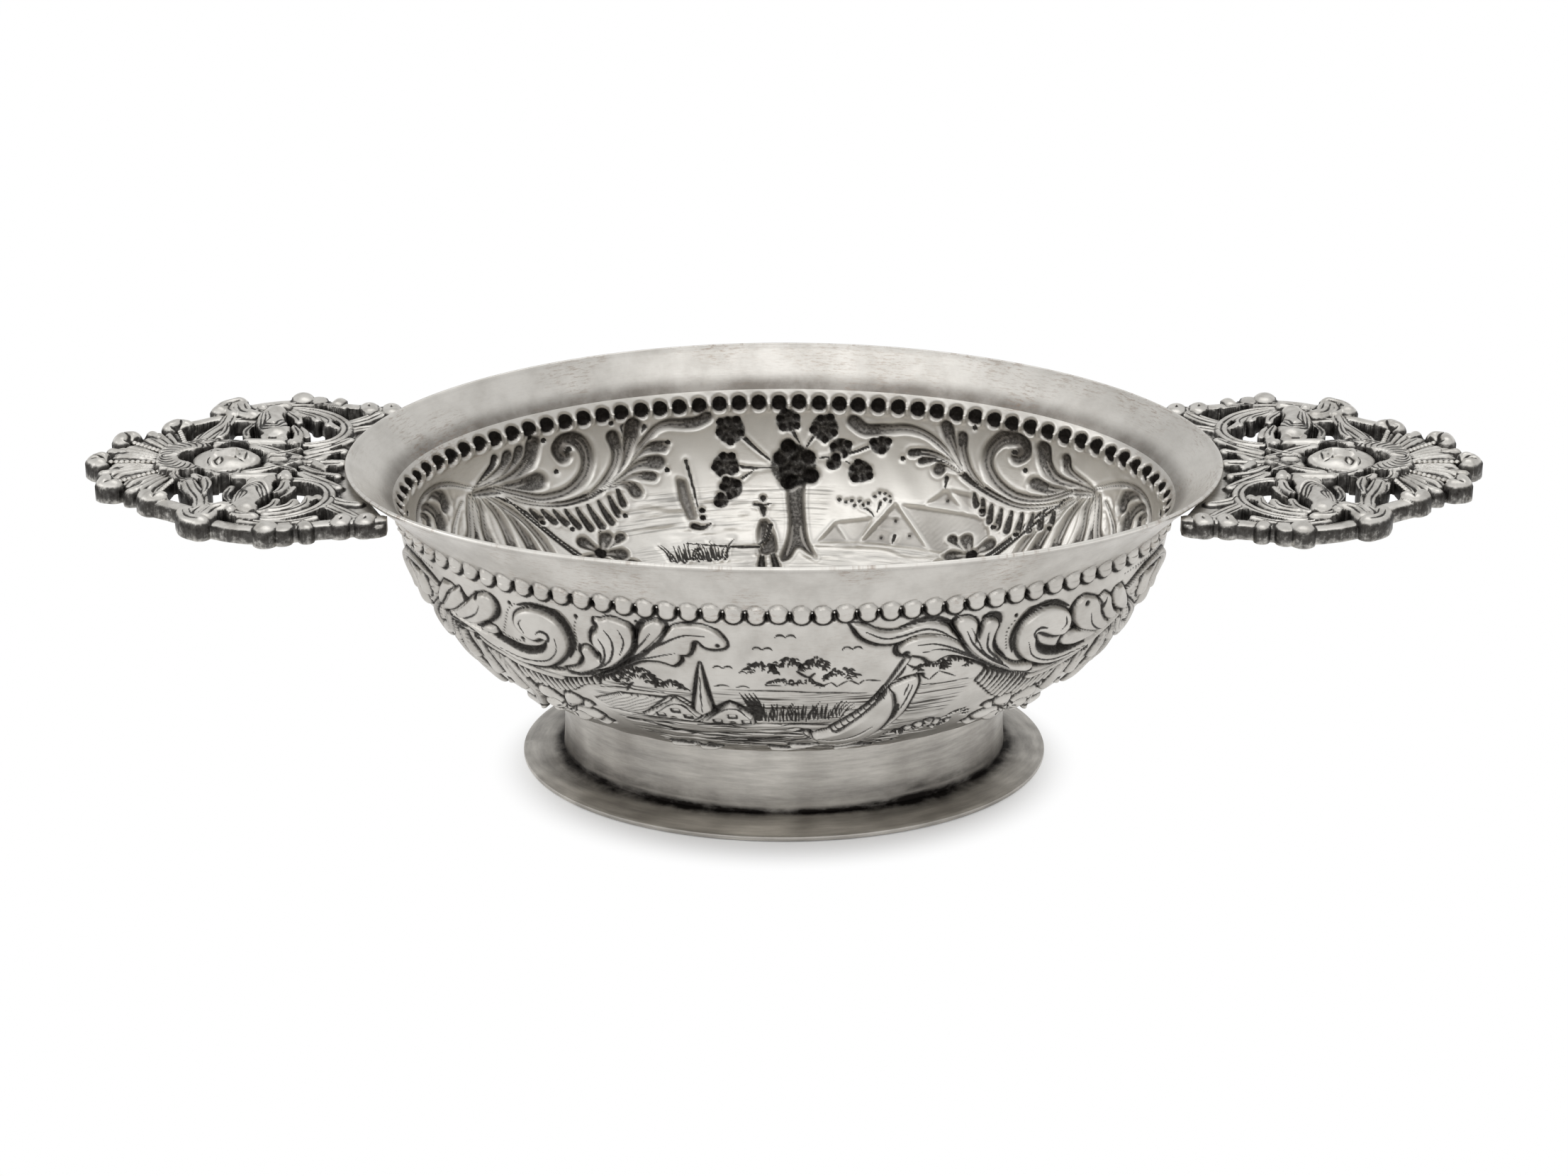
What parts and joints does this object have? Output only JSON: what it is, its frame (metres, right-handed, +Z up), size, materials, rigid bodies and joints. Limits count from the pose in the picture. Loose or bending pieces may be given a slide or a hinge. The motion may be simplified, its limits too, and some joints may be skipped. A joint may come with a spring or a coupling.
{
  "type": "silver brandy bowl",
  "caption": "Oval raised silver bowl with a beaded row, chased and embossed walls, a flared rim, pierced cast handles and an oval collar foot on a flat flange.",
  "frame": {"origin": "middle of the oval foot, on the plane that the foot flange stands on", "axes": "+X along the long axis towards the right handle, +Y to the back, +Z up"},
  "size_m": [0.265, 0.11, 0.0638],
  "materials": {
    "raised_silver": "polished silver with soft wear, darker in the chased lines",
    "cast_silver": "cast and chased silver, bright on the ridges and dark in the recesses",
    "foot_silver": "polished silver with faint streaks of tarnish"
  },
  "bodies": {
    "root": {"bowl": "raised_silver", "foot_collar": "foot_silver", "foot_flange": "foot_silver", "handle_left": "cast_silver", "handle_right": "cast_silver"}
  },
  "joints": []
}
